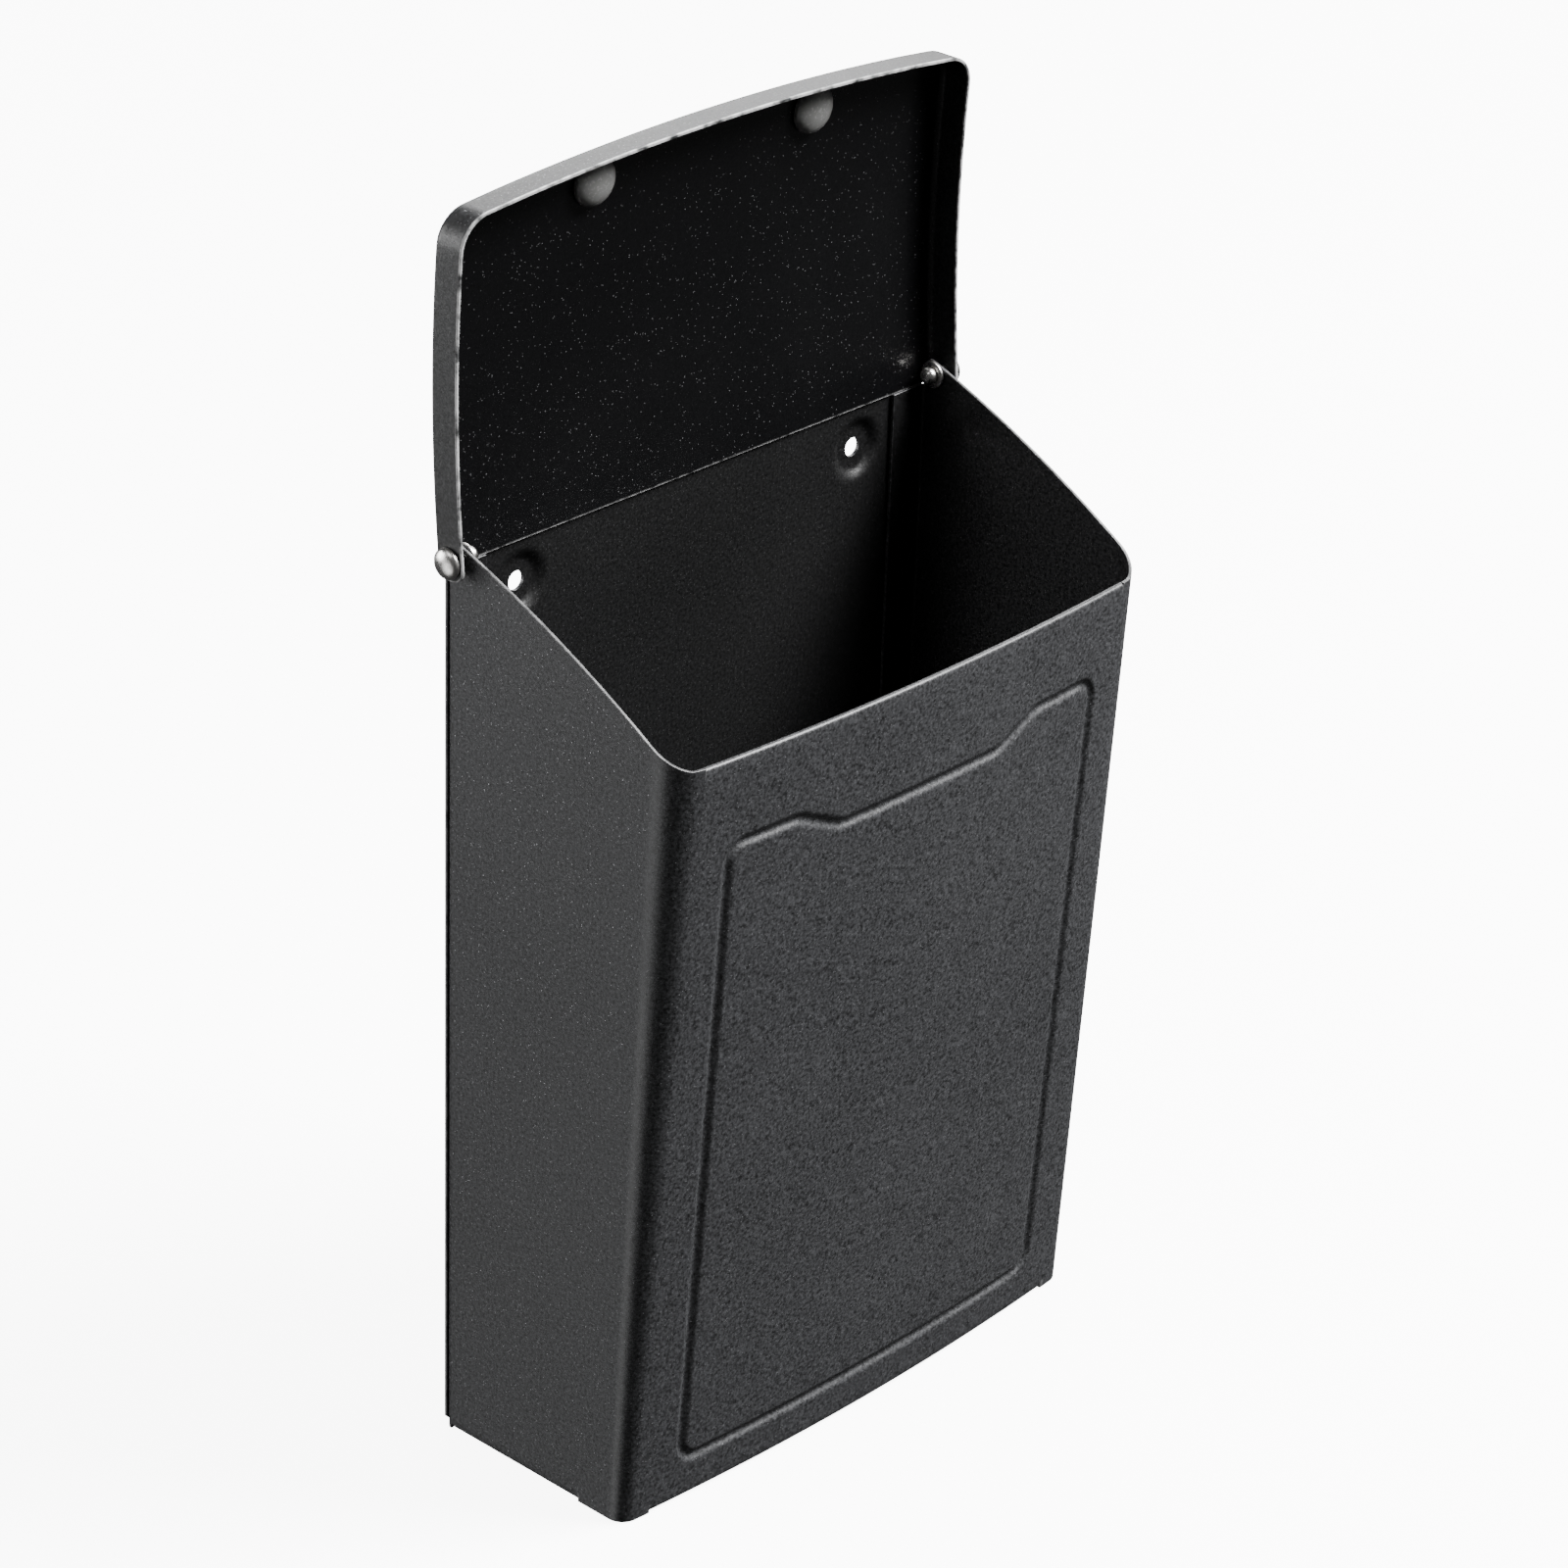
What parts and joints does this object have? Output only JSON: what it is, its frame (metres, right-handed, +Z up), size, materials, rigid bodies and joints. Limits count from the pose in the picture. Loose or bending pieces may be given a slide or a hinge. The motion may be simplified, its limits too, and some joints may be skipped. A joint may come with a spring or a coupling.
{
  "type": "wall mounted mailbox",
  "caption": "Vertical sheet steel mailbox for a wall, open at the top, with a bowed front panel and an arched lid hinged at the back.",
  "frame": {"origin": "centre of the four screw pads on the back, in the plane of the wall", "axes": "+X to the right of someone facing the mailbox and along the hinge, +Y out of the back into the wall, +Z up; the front faces -Y"},
  "size_m": [0.1824, 0.0836, 0.3385],
  "materials": {
    "outer_paint": "fine textured charcoal powder coat with a metallic sparkle",
    "inner_paint": "dark grey powder coat, satin",
    "lid_paint": "near black powder coat, glossier inside",
    "rivet_steel": "bright zinc plated steel",
    "bumper_rubber": "translucent grey soft plastic"
  },
  "bodies": {
    "box": {"front_shell": "outer_paint", "back_panel": "inner_paint", "bottom_pan": "inner_paint", "hinge_rivet_left": "rivet_steel", "hinge_rivet_right": "rivet_steel", "hinge_washer_left": "rivet_steel", "hinge_washer_right": "rivet_steel"},
    "lid": {"lid": "lid_paint", "lid_bumper_left": "bumper_rubber", "lid_bumper_right": "bumper_rubber"}
  },
  "joints": [
    {"name": "lid_hinge", "type": "hinge", "parent": "box", "child": "lid", "pos_m": [0, -0.0072, 0.119], "axis": [1, 0, 0], "range_deg": [0, 113.8]}
  ]
}
